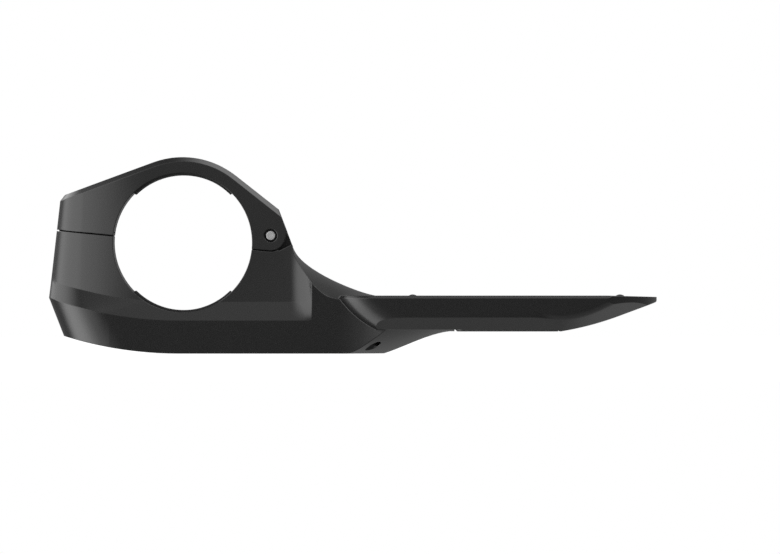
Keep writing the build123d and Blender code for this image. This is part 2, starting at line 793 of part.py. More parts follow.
# Cover let into the platform's underside
with BuildPart() as underside_cover:
    with BuildSketch(Plane.XY.offset(sole_z)):
        with Locations((cover_rear_x, 0)):
            RectangleRounded(
                cover_front_x - cover_rear_x,
                2 * cover_half_w,
                cover_corner_r,
                align=(Align.MIN, Align.CENTER),
            )
    extrude(amount=cover_t)
    chamfer(underside_cover.edges().group_by(Axis.Z)[0], cover_bevel)
    with Locations(*[Location((x, y, sole_z), (180, 0, 0)) for x, y in cover_screw_spots]):
        CounterSinkHole(screw_d / 2, screw_head_d / 2, counter_sink_angle=screw_head_angle)

# Domed bumpers in the platform's top
dome_r = ((bumper_d / 2) ** 2 + bumper_rise**2) / (2 * bumper_rise)
with BuildPart() as rest_bumpers:
    with Locations(*[(x, 0, platform_top_z + bumper_rise - dome_r) for x in bumper_spots]):
        Sphere(dome_r)
    with Locations(*[(x, 0, platform_top_z - bumper_depth) for x in bumper_spots]):
        Cylinder(bumper_d / 2, reach, align=stacked_up, mode=Mode.INTERSECT)
        Cylinder(bumper_d / 2, bumper_depth, align=stacked_up)

# Threaded inserts in the keel
with BuildPart() as keel_inserts:
    with Locations(*[(insert_x, side * insert_y, insert_face_z) for side in (-1, 1)]):
        Cylinder(insert_d / 2, insert_length, align=stacked_up)
        Cylinder(insert_thread_d / 2, insert_length, align=stacked_up, mode=Mode.SUBTRACT)

nodes = {
    "clamp_heel": clamp_heel,
    "mount_body": mount_body,
    "platform_deck": platform_deck,
    "top_clamp": top_clamp,
    "hinge_pin": hinge_pin,
    **pads,
    "clamp_bolt": clamp_bolt,
    "bolt_washer": bolt_washer,
    "clamp_nut": clamp_nut,
    "twist_lock_ring": twist_lock_ring,
    "ring_screws": ring_screws,
    "underside_cover": underside_cover,
    "cover_screws": cover_screws,
    "rest_bumpers": rest_bumpers,
    "keel_inserts": keel_inserts,
}
for node_name, node in nodes.items():
    node.part.label = node_name
    export_step(node.part, f"parts/{node_name}.step")
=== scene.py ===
"""Studio picture of an out-front bike computer mount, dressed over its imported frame.

Everything is in metres in the part's own frame: the origin is the centre of the handlebar bore,
+X runs forward to the platform, +Y along the handlebar and +Z up.
"""

import logging
import math
from dataclasses import dataclass
from enum import Enum
from typing import Any

import bmesh
import bpy
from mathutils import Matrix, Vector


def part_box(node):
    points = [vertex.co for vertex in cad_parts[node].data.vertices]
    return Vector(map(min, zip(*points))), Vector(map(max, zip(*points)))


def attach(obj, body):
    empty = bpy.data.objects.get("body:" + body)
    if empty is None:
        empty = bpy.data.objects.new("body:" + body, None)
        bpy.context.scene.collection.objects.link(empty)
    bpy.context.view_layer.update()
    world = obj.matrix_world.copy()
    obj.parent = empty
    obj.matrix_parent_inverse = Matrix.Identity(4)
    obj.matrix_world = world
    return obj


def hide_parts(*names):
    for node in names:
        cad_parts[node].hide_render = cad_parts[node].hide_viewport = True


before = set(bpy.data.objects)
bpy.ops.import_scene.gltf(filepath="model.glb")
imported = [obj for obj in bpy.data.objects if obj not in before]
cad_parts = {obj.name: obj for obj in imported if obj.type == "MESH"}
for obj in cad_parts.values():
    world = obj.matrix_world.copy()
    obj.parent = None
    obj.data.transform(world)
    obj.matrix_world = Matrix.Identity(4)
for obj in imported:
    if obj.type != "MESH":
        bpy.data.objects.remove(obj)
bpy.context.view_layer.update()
LOG = logging.getLogger("computer_mount")
MM = 0.001
HARD_EDGE = math.radians(30)
WHITE = (1.0, 1.0, 1.0, 1.0)


class Body(str, Enum):
    """The moving bodies of the mount."""

    BASE = "base"
    UPPER_JAW = "upper_jaw"
    BOLT_SET = "bolt_set"


class Slot(str, Enum):
    """The record's material slots."""

    BLACK_NYLON = "black_nylon"
    RING_NYLON = "ring_nylon"
    PAD_RUBBER = "pad_rubber"
    PIN_STEEL = "pin_steel"
    BLACK_STEEL = "black_steel"
    INSERT_BRASS = "insert_brass"


def hex_to_linear(code: str) -> tuple[float, float, float, float]:
    """Turns an sRGB hex colour into linear RGBA.

    Args:
        code: six hex digits with a leading hash sign.

    Returns:
        The colour as linear red, green, blue and an alpha of 1.
    """
    srgb = [int(code[i : i + 2], 16) / 255 for i in (1, 3, 5)]
    red, green, blue = (c / 12.92 if c <= 0.04045 else ((c + 0.055) / 1.055) ** 2.4 for c in srgb)
    return (red, green, blue, 1.0)


def per_mm(size_mm: float) -> float:
    """Works out the scale of a noise from the size of its grains.

    Args:
        size_mm: how far across the grains are, in millimetres.

    Returns:
        The value for the noise's Scale socket.
    """
    return 1.0 / (size_mm * MM)


def add_node(
    tree: bpy.types.NodeTree,
    kind: str,
    settings: dict[str, Any] | None = None,
    values: dict[Any, Any] | None = None,
    links: dict[Any, bpy.types.NodeSocket] | None = None,
) -> bpy.types.Node:
    """Adds a node to a tree with its settings, socket values and incoming links.

    Args:
        tree: the node tree.
        kind: the node's type name.
        settings: properties to set on the node, by name.
        values: default values of input sockets, by name or index.
        links: output sockets to join to input sockets, by name or index.

    Returns:
        The new node.
    """
    node = tree.nodes.new(kind)
    for name, value in (settings or {}).items():
        setattr(node, name, value)
    for key, value in (values or {}).items():
        node.inputs[key].default_value = value
    for key, socket in (links or {}).items():
        tree.links.new(socket, node.inputs[key])
    return node


@dataclass(frozen=True)
class Finish:
    """A surface with a faint broad stain in its colour and fine marks in its sheen and relief."""

    name: str
    colour: str
    stain_colour: str
    roughness: float
    mark_mm: float
    mark_depth_mm: float
    mark_detail: float = 4.0
    mark_roughness: float = 0.6
    mark_low: float = 0.3
    mark_high: float = 0.7
    stain_mm: float = 7.0
    stain_detail: float = 3.0
    smoother: float = 0.02
    rougher: float = 0.03
    relief: float = 0.4
    edge_mm: float = 0.28
    edge_samples: int = 12
    ior: float = 1.5
    metallic: float = 0.0

    def build(self) -> bpy.types.Material:
        """Builds the node material.

        Returns:
            The material.
        """
        material = bpy.data.materials.new(self.name)
        material.use_nodes = True
        tree = material.node_tree
        tree.nodes.clear()
        place = add_node(tree, "ShaderNodeTexCoord").outputs["Object"]
        stain = add_node(
            tree,
            "ShaderNodeTexNoise",
            values={"Scale": per_mm(self.stain_mm), "Detail": self.stain_detail},
            links={"Vector": place},
        )
        marks = add_node(
            tree,
            "ShaderNodeTexNoise",
            values={
                "Scale": per_mm(self.mark_mm),
                "Detail": self.mark_detail,
                "Roughness": self.mark_roughness,
            },
            links={"Vector": place},
        ).outputs["Fac"]
        tint = add_node(
            tree,
            "ShaderNodeMix",
            {"data_type": "RGBA"},
            {6: hex_to_linear(self.colour), 7: hex_to_linear(self.stain_colour)},
            {0: stain.outputs["Fac"]},
        )
        sheen = add_node(
            tree,
            "ShaderNodeMapRange",
            values={
                "From Min": self.mark_low,
                "From Max": self.mark_high,
                "To Min": self.roughness - self.smoother,
                "To Max": self.roughness + self.rougher,
            },
            links={"Value": marks},
        )
        rounded = add_node(
            tree, "ShaderNodeBevel", {"samples": self.edge_samples}, {"Radius": self.edge_mm * MM}
        )
        relief = add_node(
            tree,
            "ShaderNodeBump",
            values={"Strength": self.relief, "Distance": self.mark_depth_mm * MM},
            links={"Height": marks, "Normal": rounded.outputs["Normal"]},
        )
        surface = add_node(
            tree,
            "ShaderNodeBsdfPrincipled",
            values={"IOR": self.ior, "Metallic": self.metallic},
            links={
                "Base Color": tint.outputs[2],
                "Roughness": sheen.outputs["Result"],
                "Normal": relief.outputs["Normal"],
            },
        )
        add_node(tree, "ShaderNodeOutputMaterial", links={"Surface": surface.outputs["BSDF"]})
        return material


@dataclass(frozen=True)
class MouldedFinish(Finish):
    """Moulded plastic or rubber, with the even grain of a spark-eroded tool and a faint cloudiness.

    The eye gets a soft satin sheen that breaks up in the grain, with edges rounded by the mould.
    """


@dataclass(frozen=True)
class TurnedMetalFinish(Finish):
    """Turned or drawn metal: fine tool marks vary the sheen, and handling rounds the edges.

    The eye gets a bright soft metal that is a little duller in places.
    """

    mark_mm: float = 0.15
    mark_depth_mm: float = 0.004
    mark_detail: float = 3.0
    mark_roughness: float = 0.5
    stain_mm: float = 2.0
    stain_detail: float = 2.0
    smoother: float = 0.05
    rougher: float = 0.08
    relief: float = 0.5
    edge_mm: float = 0.1
    metallic: float = 1.0


class Finishes:
    """All finishes of the mount, each built once."""

    def __init__(self) -> None:
        """Builds every finish."""
        # Satin black with a fine sparkle of grain
        self.housing = MouldedFinish(
            "glass_filled_nylon_moulded", "#080808", "#0b0b0b", 0.26, 0.28, 0.02
        ).build()
        # A smoother, slightly greyer black that sets the ring and the cover off
        self.ring = MouldedFinish("acetal_moulded", "#1a1a1b", "#202021", 0.36, 0.2, 0.008).build()
        # Dull black that gives back hardly any light
        self.rubber = MouldedFinish(
            "nitrile_rubber_moulded", "#0c0c0c", "#111111", 0.7, 0.15, 0.02
        ).build()
        # Pale bright metal, the one light spot of the mount
        self.pin = TurnedMetalFinish("stainless_steel_drawn", "#cfcfcf", "#b8b8b8", 0.36).build()
        # Dark metal with a soft shine
        self.fixing = TurnedMetalFinish("black_oxide_steel", "#2a2a2b", "#1f1f20", 0.38).build()
        # Muted yellow metal deep in the holes
        self.insert = TurnedMetalFinish("brass_turned_dull", "#6e6248", "#57503f", 0.38).build()


def mesh_object(name: str, mesh: bpy.types.Mesh, material: bpy.types.Material) -> bpy.types.Object:
    """Puts a mesh in the scene as one object at the origin.

    Args:
        name: the piece's name.
        mesh: its mesh, already in place.
        material: its only material.

    Returns:
        The object.
    """
    mesh.materials.clear()
    mesh.materials.append(material)
    piece = bpy.data.objects.new(name, mesh)
    bpy.context.scene.collection.objects.link(piece)
    return piece


def settle(piece: bpy.types.Object, body: Body, slot: Slot, *nodes: str) -> bpy.types.Object:
    """Makes a finished piece ride on its body, and stand for CAD nodes where it does.

    Args:
        piece: the object.
        body: the body that carries it.
        slot: the material slot of its finish; not used.
        nodes: the CAD nodes that it stands for.

    Returns:
        The same object.
    """
    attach(piece, body.value)
    if nodes:
        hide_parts(*nodes)
    LOG.info("%s on %s: %d vertices", piece.name, body.value, len(piece.data.vertices))
    return piece


def welded(mesh: bpy.types.Mesh, crease_deg: float) -> bpy.types.Mesh:
    """Joins a mesh's loose triangles and smooths its soft edges.

    Args:
        mesh: the mesh, which is changed.
        crease_deg: edges that turn more than this stay sharp.

    Returns:
        The same mesh.
    """
    build = bmesh.new()
    build.from_mesh(mesh)
    bmesh.ops.remove_doubles(build, verts=build.verts, dist=0.0005 * MM)
    build.to_mesh(mesh)
    build.free()
    names = [a.name for a in mesh.attributes if a.name in ("custom_normal", "sharp_face")]
    for name in names:
        mesh.attributes.remove(mesh.attributes[name])
    mesh.polygons.foreach_set("use_smooth", [True] * len(mesh.polygons))
    mesh.set_sharp_from_angle(angle=math.radians(crease_deg))
    return mesh


def merged_copy(node: str, crease_deg: float = 28.0) -> bpy.types.Mesh:
    """Copies a CAD node's mesh with its loose triangles joined and its soft edges smooth.

    Args:
        node: the CAD node.
        crease_deg: edges that turn more than this stay sharp.

    Returns:
        The new mesh.
    """
    return welded(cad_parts[node].data.copy(), crease_deg)


def shift(mesh: bpy.types.Mesh, middle: tuple[float, float, float]) -> None:
    """Moves a turned mesh sideways onto the axis of the piece that it stands for.

    Args:
        mesh: the mesh, made round the Z axis.
        middle: the middle of that piece in millimetres.
    """
    for vertex in mesh.vertices:
        vertex.co.x += middle[0] * MM
        vertex.co.y += middle[1] * MM


@dataclass(frozen=True)
class Ring:
    """One ring of a turned piece, in millimetres: round, a hexagon over its flats, or knurled."""

    radius: float
    height: float
    hexagon: bool = False
    knurls: int = 0
    knurl_depth: float = 0.0
    bevel_from: float = 0.0
    bevel_slope: float = 0.0

    def point(self, angle: float) -> tuple[float, float, float]:
        """Finds the ring's point at an angle.

        Args:
            angle: the angle round the axis, in radians.

        Returns:
            The point in metres.
        """
        sixth = math.pi / 3
        reach = self.radius
        if self.hexagon:
            reach /= math.cos(angle % sixth - sixth / 2)
        if self.knurls:
            reach -= self.knurl_depth * (0.5 + 0.5 * math.cos(self.knurls * angle))
        height = self.height
        if self.bevel_slope:
            height += self.bevel_slope * (reach - self.bevel_from)
        return (reach * math.cos(angle) * MM, reach * math.sin(angle) * MM, height * MM)


def turned_mesh(
    name: str, rings: list[Ring], sides: int = 96, tube: bool = False
) -> bpy.types.Mesh:
    """Skins a stack of rings round the Z axis, each ring joined to the next.

    Args:
        name: the mesh's name.
        rings: the rings in order along the outline.
        sides: points on each ring.
        tube: joins the last ring to the first instead of closing both ends.

    Returns:
        The mesh, with its hard edges sharp.
    """
    build = bmesh.new()
    loops = []
    for ring in rings:
        loops.append([build.verts.new(ring.point(2 * math.pi * n / sides)) for n in range(sides)])
    pairs = list(zip(loops, loops[1:])) + ([(loops[-1], loops[0])] if tube else [])
    for low, high in pairs:
        for n in range(sides):
            following = (n + 1) % sides
            build.faces.new((low[n], low[following], high[following], high[n]))
    if not tube:
        build.faces.new(loops[0])
        build.faces.new(loops[-1])
    bmesh.ops.recalc_face_normals(build, faces=build.faces)
    mesh = bpy.data.meshes.new(name)
    build.to_mesh(mesh)
    build.free()
    mesh.polygons.foreach_set("use_smooth", [True] * len(mesh.polygons))
    mesh.set_sharp_from_angle(angle=HARD_EDGE)
    return mesh


class FormTree:
    """A geometry node tree with named inputs, whose result is kept as a plain mesh."""

    def __init__(self, name: str, sockets: dict[str, str]) -> None:
        """Starts the tree.

        Args:
            name: the tree's name.
            sockets: the socket type of each named input.
        """
        self.tree = bpy.data.node_groups.new(name, "GeometryNodeTree")
        self.keys: dict[str, str] = {}
        for label, kind in sockets.items():
            socket = self.tree.interface.new_socket(name=label, in_out="INPUT", socket_type=kind)
            self.keys[label] = socket.identifier
        self.tree.interface.new_socket(
            name="Geometry", in_out="OUTPUT", socket_type="NodeSocketGeometry"
        )
        self.inputs = self.tree.nodes.new("NodeGroupInput").outputs

    def close(self, geometry: bpy.types.NodeSocket) -> None:
        """Ends the tree: instances are made real and take the material.

        Args:
            geometry: the finished geometry.
        """
        real = add_node(self.tree, "GeometryNodeRealizeInstances", links={0: geometry})
        painted = add_node(
            self.tree,
            "GeometryNodeSetMaterial",
            links={"Geometry": real.outputs[0], "Material": self.inputs["Material"]},
        )
        add_node(self.tree, "NodeGroupOutput", links={0: painted.outputs[0]})

    def grow(self, name: str, start: bpy.types.Mesh, values: dict[str, Any]) -> bpy.types.Object:
        """Runs the tree on a mesh and keeps the result.

        Args:
            name: the piece's name.
            start: the mesh that goes into the tree.
            values: the inputs, by name.

        Returns:
            An object with a plain mesh and no modifier.
        """
        host = bpy.data.objects.new(name, start)
        bpy.context.scene.collection.objects.link(host)
        modifier = host.modifiers.new(name, "NODES")
        modifier.node_group = self.tree
        for label, value in values.items():
            modifier[self.keys[label]] = value
        depsgraph = bpy.context.evaluated_depsgraph_get()
        mesh = bpy.data.meshes.new_from_object(host.evaluated_get(depsgraph), depsgraph=depsgraph)
        host.modifiers.remove(modifier)
        host.data = mesh
        mesh.set_sharp_from_angle(angle=HARD_EDGE)
        return host


def screw_circle_tree() -> FormTree:
    """Builds the tree that sets screws at even steps round an oval, each at its own angle.

    Returns:
        The tree.
    """
    form = FormTree(
        "screw_circle",
        {
            "Geometry": "NodeSocketGeometry",
            "Count": "NodeSocketInt",
            "Phase": "NodeSocketFloat",
            "Spread": "NodeSocketVector",
            "Centre": "NodeSocketVector",
            "Tilt": "NodeSocketVector",
            "Seed": "NodeSocketInt",
            "Material": "NodeSocketMaterial",
        },
    )
    tree, given = form.tree, form.inputs
    sixth_turn = math.radians(60)
    circle = add_node(
        tree,
        "GeometryNodeMeshCircle",
        values={"Radius": 1.0},
        links={"Vertices": given["Count"]},
    )
    phase = add_node(tree, "ShaderNodeCombineXYZ", links={"Z": given["Phase"]})
    turned = add_node(
        tree,
        "GeometryNodeTransform",
        links={"Geometry": circle.outputs[0], "Rotation": phase.outputs[0]},
    )
    placed = add_node(
        tree,
        "GeometryNodeTransform",
        links={
            "Geometry": turned.outputs[0],
            "Translation": given["Centre"],
            "Scale": given["Spread"],
        },
    )
    screws = add_node(
        tree,
        "GeometryNodeInstanceOnPoints",
        links={
            "Points": placed.outputs[0],
            "Instance": given["Geometry"],
            "Rotation": given["Tilt"],
        },
    )
    spin = add_node(
        tree,
        "FunctionNodeRandomValue",
        {"data_type": "FLOAT_VECTOR"},
        {0: (0.0, 0.0, 0.0), 1: (0.0, 0.0, sixth_turn)},
        {"Seed": given["Seed"]},
    )
    driven = add_node(
        tree,
        "GeometryNodeRotateInstances",
        links={"Instances": screws.outputs[0], "Rotation": spin.outputs[0]},
    )
    form.close(driven.outputs[0])
    return form


def thread_tree() -> FormTree:
    """Builds the tree that winds a thread's ridge up the Z axis from each point it is given.

    Returns:
        The tree.
    """
    form = FormTree(
        "thread_ridge",
        {
            "Geometry": "NodeSocketGeometry",
            "Radius": "NodeSocketFloat",
            "Depth": "NodeSocketFloat",
            "Turns": "NodeSocketFloat",
            "Height": "NodeSocketFloat",
            "Steps": "NodeSocketInt",
            "Material": "NodeSocketMaterial",
        },
    )
    tree, given = form.tree, form.inputs
    helix = add_node(
        tree,
        "GeometryNodeCurveSpiral",
        links={
            "Resolution": given["Steps"],
            "Rotations": given["Turns"],
            "Start Radius": given["Radius"],
            "End Radius": given["Radius"],
            "Height": given["Height"],
        },
    )
    upright = add_node(
        tree, "GeometryNodeSetCurveNormal", {"mode": "Z_UP"}, links={0: helix.outputs[0]}
    )
    section = add_node(
        tree,
        "GeometryNodeCurvePrimitiveCircle",
        values={"Resolution": 4},
        links={"Radius": given["Depth"]},
    )
    ridge = add_node(
        tree,
        "GeometryNodeCurveToMesh",
        values={"Fill Caps": True},
        links={"Curve": upright.outputs[0], "Profile Curve": section.outputs[0]},
    )
    wound = add_node(
        tree,
        "GeometryNodeInstanceOnPoints",
        links={"Points": given["Geometry"], "Instance": ridge.outputs[0]},
    )
    form.close(wound.outputs[0])
    return form


def points_mesh(name: str, places: list[tuple[float, float, float]]) -> bpy.types.Mesh:
    """Makes a mesh of loose points.

    Args:
        name: the mesh's name.
        places: the points, in millimetres.

    Returns:
        The mesh.
    """
    mesh = bpy.data.meshes.new(name)
    mesh.from_pydata([tuple(c * MM for c in place) for place in places], [], [])
    return mesh


def middle_mm(node: str) -> tuple[float, float, float]:
    """Finds the middle of a CAD node's box at rest.

    Args:
        node: the CAD node.

    Returns:
        The point in millimetres.
    """
    low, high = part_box(node)
    return tuple((a + b) / 2 / MM for a, b in zip(low, high))


@dataclass
class Housing:
    """The lower moulding: half of the clamp, neck, keel and platform in one."""

    finishes: Finishes
    nodes: tuple[str, ...] = ("clamp_heel", "mount_body", "platform_deck")
    crease_deg: float = 14.0
    dome_crease_deg: float = 60.0
    seam: float = 0.001 * MM

    def build(self) -> None:
        """Builds the moulding, its cover and the two bumpers."""
        housing = mesh_object("housing", self.moulding(), self.finishes.housing)
        settle(housing, Body.BASE, Slot.BLACK_NYLON, *self.nodes)
        cover = mesh_object("underside_plate", merged_copy("underside_cover"), self.finishes.ring)
        settle(cover, Body.BASE, Slot.RING_NYLON, "underside_cover")
        domes = merged_copy("rest_bumpers", self.dome_crease_deg)
        bumpers = mesh_object("bumpers", domes, self.finishes.rubber)
        settle(bumpers, Body.BASE, Slot.PAD_RUBBER, "rest_bumpers")

    def moulding(self) -> bpy.types.Mesh:
        """Joins the heel, the arm and the deck into the one moulding that they are.

        Returns:
            The joined mesh, without the walls where the nodes meet.
        """
        joints = [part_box(node)[0][0] for node in self.nodes[1:]]
        build = bmesh.new()
        for node in self.nodes:
            build.from_mesh(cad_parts[node].data)
        inner = [
            face
            for face in build.faces
            if any(all(abs(v.co.x - joint) < self.seam for v in face.verts) for joint in joints)
        ]
        bmesh.ops.delete(build, geom=inner, context="FACES")
        mesh = bpy.data.meshes.new("moulding")
        build.to_mesh(mesh)
        build.free()
        return welded(mesh, self.crease_deg)


@dataclass
class Jaw:
    """The hinged upper half of the clamp, its pin and nut."""

    finishes: Finishes
    crease_deg: float = 14.0
    nut_flat: float = 3.5
    nut_bore: float = 2.0
    nut_washer_face: float = 3.35
    nut_lead: float = 0.2
    nut_bevel_deg: float = 30.0

    def build(self) -> None:
        """Builds the jaw with its pin and nut."""
        jaw = mesh_object("jaw", merged_copy("top_clamp", self.crease_deg), self.finishes.housing)
        settle(jaw, Body.UPPER_JAW, Slot.BLACK_NYLON, "top_clamp")
        pin = mesh_object("pin", merged_copy("hinge_pin"), self.finishes.pin)
        settle(pin, Body.UPPER_JAW, Slot.PIN_STEEL, "hinge_pin")
        settle(self.nut(), Body.UPPER_JAW, Slot.PIN_STEEL, "clamp_nut")

    def nut(self) -> bpy.types.Object:
        """Builds the hexagon nut, with its corners bevelled on both faces.

        Returns:
            The nut.
        """
        (_, _, low), (_, _, high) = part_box("clamp_nut")
        low, high = low / MM, high / MM
        bevel = {"hexagon": True, "bevel_from": self.nut_washer_face}
        slope = math.tan(math.radians(self.nut_bevel_deg))
        mesh = turned_mesh(
            "nut",
            [
                Ring(self.nut_bore, low + self.nut_lead),
                Ring(self.nut_bore + self.nut_lead, low),
                Ring(self.nut_washer_face, low),
                Ring(self.nut_flat, low, bevel_slope=slope, **bevel),
                Ring(self.nut_flat, high, bevel_slope=-slope, **bevel),
                Ring(self.nut_washer_face, high),
                Ring(self.nut_bore + self.nut_lead, high),
                Ring(self.nut_bore, high - self.nut_lead),
            ],
            tube=True,
        )
        shift(mesh, middle_mm("clamp_nut"))
        return mesh_object("nut", mesh, self.finishes.pin)


@dataclass
class GripPads:
    """The two elastomer pads in the bore."""

    finishes: Finishes

    def build(self) -> None:
        """Builds both pads."""
        for node, body in (("upper_grip_pad", Body.UPPER_JAW), ("lower_grip_pad", Body.BASE)):
            pad = mesh_object(node.replace("grip_", ""), merged_copy(node), self.finishes.rubber)
            settle(pad, body, Slot.PAD_RUBBER, node)


@dataclass
class TwistLock:
    """The quarter-turn ring in the platform, with its screws and the cover's."""

    finishes: Finishes
    count: int = 4
    head_r: float = 1.9
    shank_r: float = 1.0
    head_angle: float = 79.0
    driver_flat: float = 0.52
    driver_depth: float = 0.6
    driver_mouth: float = 1.25
    rim: float = 0.06
    tip: float = 0.3
    sides: int = 48
    seed: int = 7

    def build(self) -> None:
        """Builds the ring and both sets of screws."""
        ring = mesh_object("lock_ring", merged_copy("twist_lock_ring"), self.finishes.ring)
        settle(ring, Body.BASE, Slot.RING_NYLON, "twist_lock_ring")
        tree = screw_circle_tree()
        for node, down in (("ring_screws", True), ("cover_screws", False)):
            settle(self.screws(tree, node, down), Body.BASE, Slot.BLACK_STEEL, node)

    def screws(self, tree: FormTree, node: str, down: bool) -> bpy.types.Object:
        """Builds one set of countersunk screws.

        Args:
            tree: the tree that sets them out.
            node: the CAD node that they stand for.
            down: True where they are driven downwards.

        Returns:
            The screws as one object.
        """
        low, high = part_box(node)
        centre = [(a + b) / 2 for a, b in zip(low, high)]
        centre[2] = high[2] if down else low[2]
        spread = [math.sqrt(2) * ((b - a) / 2 - self.head_r * MM) for a, b in zip(low, high)]
        return tree.grow(
            node.replace("_", "_flat_"),
            self.screw((high[2] - low[2]) / MM),
            {
                "Count": self.count,
                "Phase": math.radians(45),
                "Spread": (spread[0], spread[1], 1.0),
                "Centre": centre,
                "Tilt": (0.0 if down else math.pi, 0.0, 0.0),
                "Seed": self.seed,
                "Material": self.finishes.fixing,
            },
        )

    def screw(self, length: float) -> bpy.types.Mesh:
        """Turns one screw, its head's face at the origin and its shank down.

        Args:
            length: its whole length in millimetres.

        Returns:
            The mesh.
        """
        head_h = (self.head_r - self.shank_r) / math.tan(math.radians(self.head_angle / 2))
        return turned_mesh(
            "flat_screw",
            [
                Ring(self.driver_flat, -self.driver_depth, hexagon=True),
                Ring(self.driver_flat, -self.rim, hexagon=True),
                Ring(self.driver_flat * self.driver_mouth, 0.0),
                Ring(self.head_r - self.rim, 0.0),
                Ring(self.head_r, -self.rim),
                Ring(self.shank_r, -head_h),
                Ring(self.shank_r, self.tip - length),
                Ring(self.shank_r - self.tip, -length),
            ],
            sides=self.sides,
        )


@dataclass
class Fixings:
    """The clamp bolt with its washer, and the keel's inserts."""

    finishes: Finishes
    head_r: float = 3.5
    head_h: float = 4.0
    key_flat: float = 1.5
    key_depth: float = 2.2
    key_lead: float = 0.15
    key_mouth: float = 1.18
    root_r: float = 1.6
    thread_depth: float = 0.35
    pitch: float = 0.7
    bevel: float = 0.3
    knurls: int = 36
    knurl_depth: float = 0.1
    sides: int = 144
    washer_bore: float = 2.0
    washer_edge: float = 0.12
    insert_bore: float = 1.25
    insert_pitch: float = 0.5
    insert_depth: float = 0.2
    insert_root: float = 0.05
    steps: int = 20

    def build(self) -> None:
        """Builds the fixings and their threads."""
        settle(self.bolt(), Body.BOLT_SET, Slot.BLACK_STEEL, "clamp_bolt")
        settle(self.washer(), Body.BOLT_SET, Slot.PIN_STEEL, "bolt_washer")
        inserts = mesh_object("inserts", merged_copy("keel_inserts"), self.finishes.insert)
        settle(inserts, Body.BASE, Slot.INSERT_BRASS, "keel_inserts")
        tree = thread_tree()
        settle(self.bolt_thread(tree), Body.BOLT_SET, Slot.BLACK_STEEL)
        settle(self.insert_threads(tree), Body.BASE, Slot.INSERT_BRASS)

    def bolt(self) -> bpy.types.Object:
        """Turns the cap screw, head down, with a knurled head and a hexagon socket.

        Returns:
            The screw without its thread.
        """
        (_, _, low), (_, _, high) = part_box("clamp_bolt")
        low, high = low / MM, high / MM
        knurl = {"knurls": self.knurls, "knurl_depth": self.knurl_depth}
        neck_r = self.head_r - self.knurl_depth
        edge = self.bevel + self.knurl_depth
        mesh = turned_mesh(
            "bolt",
            [
                Ring(self.key_flat, low + self.key_depth, hexagon=True),
                Ring(self.key_flat, low + self.key_lead, hexagon=True),
                Ring(self.key_flat * self.key_mouth, low),
                Ring(self.head_r - self.bevel, low),
                Ring(neck_r, low + self.bevel),
                Ring(self.head_r, low + edge, **knurl),
                Ring(self.head_r, low + self.head_h - edge, **knurl),
                Ring(neck_r, low + self.head_h - self.bevel),
                Ring(neck_r, low + self.head_h),
                Ring(self.root_r, low + self.head_h),
                Ring(self.root_r, high - self.bevel),
                Ring(self.root_r - self.bevel, high),
            ],
            sides=self.sides,
        )
        shift(mesh, middle_mm("clamp_bolt"))
        return mesh_object("bolt", mesh, self.finishes.fixing)

    def washer(self) -> bpy.types.Object:
        """Turns the washer.

        Returns:
            The washer.
        """
        (x_low, _, low), (x_high, _, high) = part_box("bolt_washer")
        outer, edge = (x_high - x_low) / 2 / MM, self.washer_edge
        low, high = low / MM, high / MM
        mesh = turned_mesh(
            "washer",
            [
                Ring(self.washer_bore, low),
                Ring(outer - edge, low),
                Ring(outer, low + edge),
                Ring(outer, high - edge),
                Ring(outer - edge, high),
                Ring(self.washer_bore, high),
            ],
            tube=True,
        )
        shift(mesh, middle_mm("bolt_washer"))
        return mesh_object("washer", mesh, self.finishes.pin)

    def bolt_thread(self, tree: FormTree) -> bpy.types.Object:
        """Winds the bolt's thread.

        Args:
            tree: the thread tree.

        Returns:
            The ridge of the thread.
        """
        x, y, _ = middle_mm("clamp_bolt")
        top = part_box("clamp_bolt")[1][2] / MM - self.bevel - self.thread_depth
        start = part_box("bolt_washer")[1][2] / MM + self.pitch
        turns = (top - start) / self.pitch
        return tree.grow(
            "bolt_thread",
            points_mesh("bolt_thread_start", [(x, y, start)]),
            {
                "Radius": self.root_r * MM,
                "Depth": self.thread_depth * MM,
                "Turns": turns,
                "Height": turns * self.pitch * MM,
                "Steps": self.steps,
                "Material": self.finishes.fixing,
            },
        )

    def insert_threads(self, tree: FormTree) -> bpy.types.Object:
        """Winds the threads inside both inserts.

        Args:
            tree: the thread tree.

        Returns:
            The ridges of both threads.
        """
        low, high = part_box("keel_inserts")
        x, _, _ = middle_mm("keel_inserts")
        insert_r = (high[0] - low[0]) / 2 / MM
        sides = (low[1] / MM + insert_r, high[1] / MM - insert_r)
        start = low[2] / MM + self.insert_depth
        turns = ((high[2] - low[2]) / MM - 2 * self.insert_depth) / self.insert_pitch
        return tree.grow(
            "insert_threads",
            points_mesh("insert_thread_starts", [(x, y, start) for y in sides]),
            {
                "Radius": (self.insert_bore + self.insert_root) * MM,
                "Depth": self.insert_depth * MM,
                "Turns": turns,
                "Height": turns * self.insert_pitch * MM,
                "Steps": self.steps,
                "Material": self.finishes.insert,
            },
        )


@dataclass(frozen=True)
class Softbox:
    """A soft patch of light far off, placed by the direction in which the mount sees it."""

    azimuth: float
    elevation: float
    core: float
    edge: float
    strength: float

    def direction(self) -> tuple[float, float, float]:
        """Works out where the patch lies.

        Returns:
            The unit vector towards it; azimuth 0 is the side that is photographed, 90 is ahead.
        """
        turn, lift = math.radians(self.azimuth), math.radians(self.elevation)
        return (math.sin(turn) * math.cos(lift), -math.cos(turn) * math.cos(lift), math.sin(lift))


